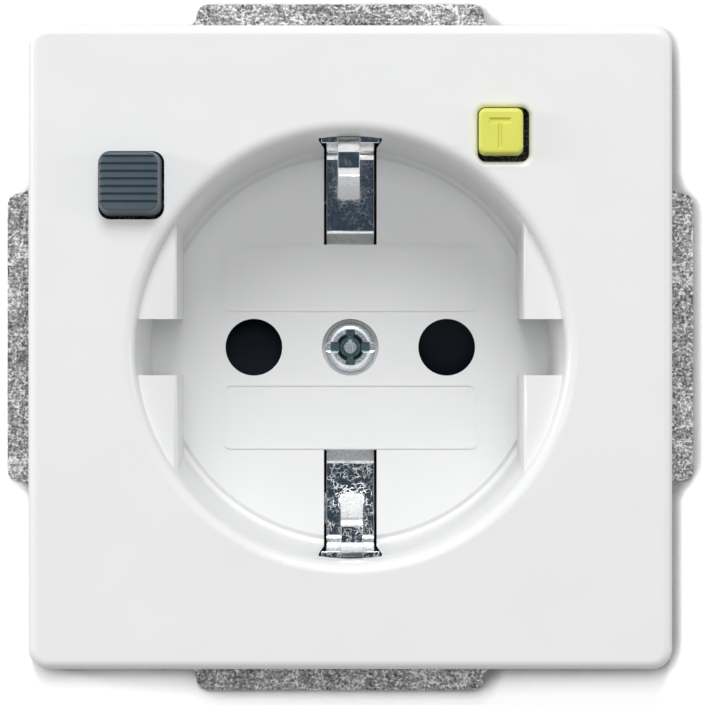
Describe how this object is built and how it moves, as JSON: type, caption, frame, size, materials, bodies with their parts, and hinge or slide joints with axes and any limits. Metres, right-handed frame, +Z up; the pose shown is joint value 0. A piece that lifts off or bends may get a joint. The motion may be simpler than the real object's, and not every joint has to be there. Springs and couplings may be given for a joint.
{
  "type": "rcd wall socket",
  "caption": "Flush earthed wall socket with a square cover plate, deep round well, earth clips, reset and test buttons and an earth-leakage trip in its rear housing.",
  "frame": {"origin": "centre of the support frame's back plane, on the wall, midway between the box screws", "axes": "+X to the right seen from the front, +Y into the wall, +Z up; the socket faces -Y"},
  "size_m": [0.0672, 0.0495, 0.0672],
  "materials": {
    "white_plastic": "smooth, soft gloss",
    "zinc_screw": "bright zinc plate",
    "galvanised_sheet": "galvanised, grainy",
    "tinned_strip": "tinned spring strip",
    "dark_plastic": "moulded thermoset",
    "contact_brass": "bright brass",
    "shutter_plastic": "dark moulded plastic",
    "spring_steel": "drawn spring wire",
    "reset_grey": "satin moulded plastic",
    "test_yellow": "satin moulded plastic",
    "inner_plastic": "natural moulded plastic",
    "contact_copper": "copper strip",
    "soft_iron": "plated iron",
    "enamelled_wire": "enamelled copper wire",
    "core_dark": "coated ferrite ring",
    "board_green": "lacquered board",
    "component_black": "moulded cases",
    "resistor_tan": "lacquered body",
    "housing_plastic": "pale moulded thermoset"
  },
  "bodies": {
    "socket": {"cover_plate": "white_plastic", "cover_screw": "zinc_screw", "support_frame": "galvanised_sheet", "frame_screws": "zinc_screw", "earth_strap": "tinned_strip", "contact_block": "dark_plastic", "line_contact": "contact_brass", "neutral_contact": "contact_brass", "shutter_spring": "spring_steel", "reset_spring": "spring_steel", "test_spring": "spring_steel", "test_leaf": "contact_brass", "carrier_spring": "spring_steel", "plunger_spring": "spring_steel", "coil_bobbin": "inner_plastic", "trip_coil": "enamelled_wire", "coil_yoke": "soft_iron", "line_lead": "contact_copper", "neutral_lead": "contact_copper", "sensing_core": "core_dark", "core_winding": "enamelled_wire", "circuit_board": "board_green", "board_components": "component_black", "test_resistor": "resistor_tan", "line_terminal": "contact_brass", "neutral_terminal": "contact_brass", "earth_terminal": "contact_brass", "terminal_screws": "zinc_screw", "rear_housing": "housing_plastic"},
    "reset": {"reset_button": "reset_grey"},
    "test": {"test_button": "test_yellow"},
    "shutter": {"shutter": "shutter_plastic"},
    "carrier": {"contact_carrier": "inner_plastic", "line_bridge": "contact_copper", "neutral_bridge": "contact_copper"},
    "latch": {"trip_latch": "galvanised_sheet"},
    "plunger": {"trip_plunger": "soft_iron"}
  },
  "joints": [
    {"name": "reset_press", "type": "slide", "parent": "socket", "child": "reset", "axis": [0, 1, 0], "range_m": [0, 0.002], "stiffness_N_per_m": 900, "deforming": ["reset_spring"]},
    {"name": "carrier_slide", "type": "slide", "parent": "socket", "child": "carrier", "axis": [0, 1, 0], "range_m": [0, 0.002], "deforming": ["carrier_spring"]},
    {"name": "latch_slide", "type": "slide", "parent": "carrier", "child": "latch", "axis": [1, 0, 0], "range_m": [0, 0.001]},
    {"name": "plunger_slide", "type": "slide", "parent": "socket", "child": "plunger", "axis": [1, 0, 0], "range_m": [0, 0.001], "stiffness_N_per_m": 300, "deforming": ["plunger_spring"]},
    {"name": "test_press", "type": "slide", "parent": "socket", "child": "test", "axis": [0, 1, 0], "range_m": [0, 0.0012], "stiffness_N_per_m": 900, "deforming": ["test_spring", "test_leaf"]},
    {"name": "shutter_turn", "type": "hinge", "parent": "socket", "child": "shutter", "pos_m": [0, 0.0127, 0], "axis": [0, 1, 0], "range_deg": [0, 40], "stiffness_Nm_per_rad": 0.002, "deforming": ["shutter_spring"]}
  ],
  "couplings": [
    {"joint": "carrier_slide", "follows": "reset_press", "ratio": 1},
    {"joint": "latch_slide", "follows": "plunger_slide", "ratio": 1}
  ]
}
